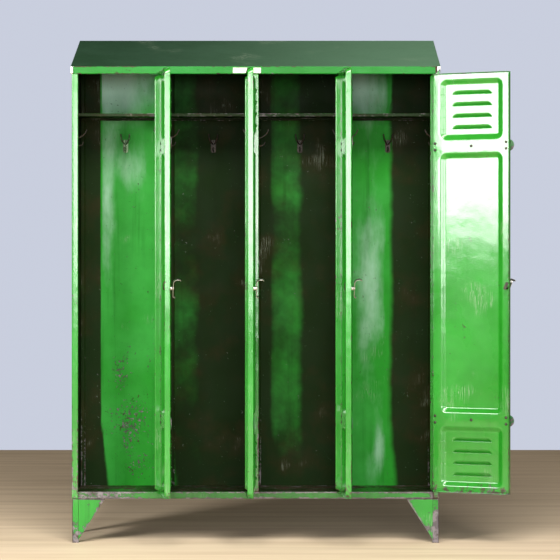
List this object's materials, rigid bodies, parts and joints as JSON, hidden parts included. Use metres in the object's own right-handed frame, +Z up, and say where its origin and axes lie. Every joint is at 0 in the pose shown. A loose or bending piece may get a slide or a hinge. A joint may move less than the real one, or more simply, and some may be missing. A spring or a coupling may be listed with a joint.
{
  "type": "school locker",
  "caption": "Steel school locker with a sloping roof, folded corner feet, louvred hinged doors with turning latches, and a hat shelf and coat hooks in every compartment.",
  "frame": {"origin": "on the floor, under the middle of the box round the locker as it stands with its doors open", "axes": "+X to the right seen from the front, +Y from the doors to the back panel, +Z up"},
  "size_m": [1.5028, 0.678, 1.745],
  "materials": {
    "green_enamel": "glossy green enamel, scratched, with rust and bare metal at worn edges",
    "roof_enamel": "dulled grey-green enamel",
    "bright_steel": "worn bright steel",
    "dark_steel": "dark oxidised steel"
  },
  "bodies": {
    "cabinet": {"left_side": "green_enamel", "right_side": "green_enamel", "divider_1": "green_enamel", "divider_2": "green_enamel", "divider_3": "green_enamel", "back_panel": "green_enamel", "base_panel": "green_enamel", "lintel": "green_enamel", "roof": "roof_enamel", "hat_shelf_1": "green_enamel", "hat_shelf_2": "green_enamel", "hat_shelf_3": "green_enamel", "hat_shelf_4": "green_enamel", "foot_front_left": "green_enamel", "foot_front_right": "green_enamel", "foot_back_left": "green_enamel", "foot_back_right": "green_enamel", "back_hook_1": "dark_steel", "side_hook_1_left": "dark_steel", "side_hook_1_right": "dark_steel", "back_hook_2": "dark_steel", "side_hook_2_left": "dark_steel", "side_hook_2_right": "dark_steel", "back_hook_3": "dark_steel", "side_hook_3_left": "dark_steel", "side_hook_3_right": "dark_steel", "back_hook_4": "dark_steel", "side_hook_4_left": "dark_steel", "side_hook_4_right": "dark_steel", "hinge_1_top_frame": "green_enamel", "hinge_1_bottom_frame": "green_enamel", "hinge_2_top_frame": "green_enamel", "hinge_2_bottom_frame": "green_enamel", "hinge_3_top_frame": "green_enamel", "hinge_3_bottom_frame": "green_enamel", "hinge_4_top_frame": "green_enamel", "hinge_4_bottom_frame": "green_enamel"},
    "door_1": {"door_1": "green_enamel", "hinge_1_top_door": "green_enamel", "hinge_1_bottom_door": "green_enamel"},
    "latch_1": {"lever_1": "bright_steel", "latch_cam_1": "dark_steel"},
    "door_2": {"door_2": "green_enamel", "hinge_2_top_door": "green_enamel", "hinge_2_bottom_door": "green_enamel"},
    "latch_2": {"lever_2": "bright_steel", "latch_cam_2": "dark_steel"},
    "door_3": {"door_3": "green_enamel", "hinge_3_top_door": "green_enamel", "hinge_3_bottom_door": "green_enamel"},
    "latch_3": {"lever_3": "bright_steel", "latch_cam_3": "dark_steel"},
    "door_4": {"door_4": "green_enamel", "hinge_4_top_door": "green_enamel", "hinge_4_bottom_door": "green_enamel"},
    "latch_4": {"lever_4": "bright_steel", "latch_cam_4": "dark_steel"}
  },
  "joints": [
    {"name": "door_1_hinge", "type": "hinge", "parent": "cabinet", "child": "door_1", "pos_m": [-0.44199, -0.04464, 0.87], "axis": [0, 0, 1], "range_deg": [-99.5, 20.5]},
    {"name": "latch_1_turn", "type": "hinge", "parent": "door_1", "child": "latch_1", "pos_m": [-0.40091, -0.31198, 0.866], "axis": [0.9863, 0.165, 0], "range_deg": [-22, 68]},
    {"name": "door_2_hinge", "type": "hinge", "parent": "cabinet", "child": "door_2", "pos_m": [-0.13474, -0.04464, 0.87], "axis": [0, 0, 1], "range_deg": [-92.5, 27.5]},
    {"name": "latch_2_turn", "type": "hinge", "parent": "door_2", "child": "latch_2", "pos_m": [-0.12654, -0.31499, 0.866], "axis": [0.999, 0.0436, 0], "range_deg": [-22, 68]},
    {"name": "door_3_hinge", "type": "hinge", "parent": "cabinet", "child": "door_3", "pos_m": [0.17251, -0.04464, 0.87], "axis": [0, 0, 1], "range_deg": [-95.5, 24.5]},
    {"name": "latch_3_turn", "type": "hinge", "parent": "door_3", "child": "latch_3", "pos_m": [0.19484, -0.31419, 0.866], "axis": [0.9954, 0.0958, 0], "range_deg": [-22, 68]},
    {"name": "door_4_hinge", "type": "hinge", "parent": "cabinet", "child": "door_4", "pos_m": [0.47976, -0.04464, 0.87], "axis": [0, 0, 1], "range_deg": [-154, 15]},
    {"name": "latch_4_turn", "type": "hinge", "parent": "door_4", "child": "latch_4", "pos_m": [0.72126, -0.16644, 0.866], "axis": [0.4384, 0.8988, 0], "range_deg": [-22, 68]}
  ]
}
